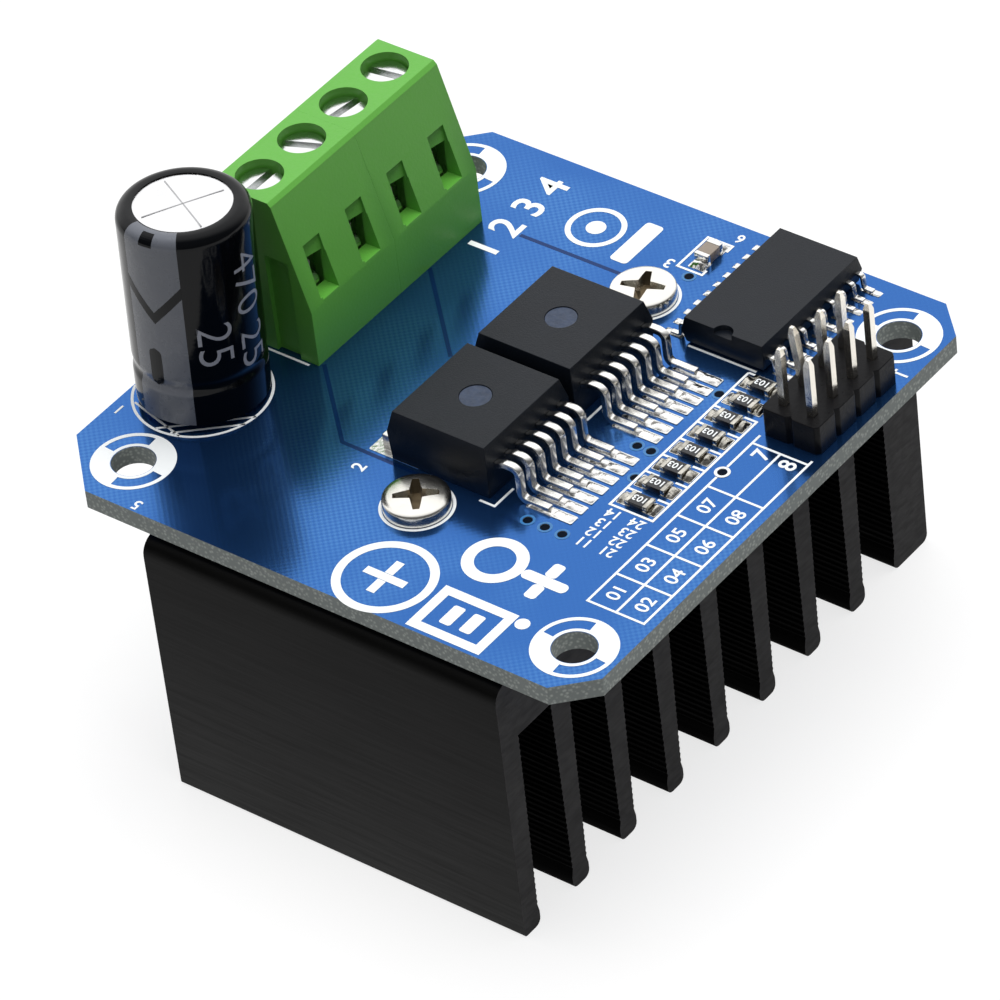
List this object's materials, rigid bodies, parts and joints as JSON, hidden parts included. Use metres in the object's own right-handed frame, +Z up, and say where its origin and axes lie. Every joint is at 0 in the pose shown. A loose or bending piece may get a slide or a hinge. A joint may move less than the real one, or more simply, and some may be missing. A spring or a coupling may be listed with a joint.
{
  "type": "dc motor driver module",
  "caption": "Square circuit board with power chips, screw terminals, a pin header and an upright capacitor, screwed to a finned black heat sink.",
  "frame": {"origin": "centre of the module's footprint at the level of the heat sink's fin tips, on which it stands", "axes": "+Z up out of the board's component side, X along the fins with the screw terminals on the -X side, Y across the fins with the capacitor towards -Y"},
  "size_m": [0.05, 0.052, 0.0437],
  "materials": {
    "black_anodised_aluminium": "satin black anodised extrusion",
    "thermal_pad": "matte grey silicone sheet",
    "board_laminate": "glass laminate under glossy blue solder mask with white print",
    "bright_screw_steel": "bright nickel-plated steel",
    "chip_moulding": "fine matte black moulding compound",
    "tinned_metal": "bright tinned copper",
    "header_plastic": "satin black nylon",
    "terminal_plastic": "semi-gloss green nylon",
    "cage_steel": "zinc-plated steel",
    "can_aluminium": "bare satin aluminium",
    "sleeve_plastic": "glossy black shrink sleeve with a grey stripe",
    "bung_rubber": "black rubber",
    "resistor_ceramic": "black glazed top on a white ceramic chip",
    "capacitor_ceramic": "matte tan ceramic",
    "solder": "bright solder"
  },
  "bodies": {
    "root": {"heat_sink": "black_anodised_aluminium", "thermal_pad": "thermal_pad", "circuit_board": "board_laminate", "heat_sink_screws": "bright_screw_steel", "front_driver_body": "chip_moulding", "front_driver_tab": "tinned_metal", "front_driver_leads": "tinned_metal", "rear_driver_body": "chip_moulding", "rear_driver_tab": "tinned_metal", "rear_driver_leads": "tinned_metal", "logic_chip_body": "chip_moulding", "logic_chip_leads": "tinned_metal", "header_base": "header_plastic", "header_pins": "tinned_metal", "capacitor_can": "can_aluminium", "capacitor_sleeve": "sleeve_plastic", "capacitor_bung": "bung_rubber", "capacitor_leads": "tinned_metal", "chip_capacitor_body": "capacitor_ceramic", "chip_capacitor_ends": "tinned_metal", "solder_joints": "solder", "front_terminal_housing": "terminal_plastic", "front_terminal_screws": "bright_screw_steel", "front_terminal_cages": "cage_steel", "front_terminal_contacts": "tinned_metal", "rear_terminal_housing": "terminal_plastic", "rear_terminal_screws": "bright_screw_steel", "rear_terminal_cages": "cage_steel", "rear_terminal_contacts": "tinned_metal", "resistor_1_body": "resistor_ceramic", "resistor_1_ends": "tinned_metal", "resistor_2_body": "resistor_ceramic", "resistor_2_ends": "tinned_metal", "resistor_3_body": "resistor_ceramic", "resistor_3_ends": "tinned_metal", "resistor_4_body": "resistor_ceramic", "resistor_4_ends": "tinned_metal", "resistor_5_body": "resistor_ceramic", "resistor_5_ends": "tinned_metal", "resistor_6_body": "resistor_ceramic", "resistor_6_ends": "tinned_metal", "resistor_7_body": "resistor_ceramic", "resistor_7_ends": "tinned_metal", "resistor_8_body": "resistor_ceramic", "resistor_8_ends": "tinned_metal"}
  },
  "joints": []
}
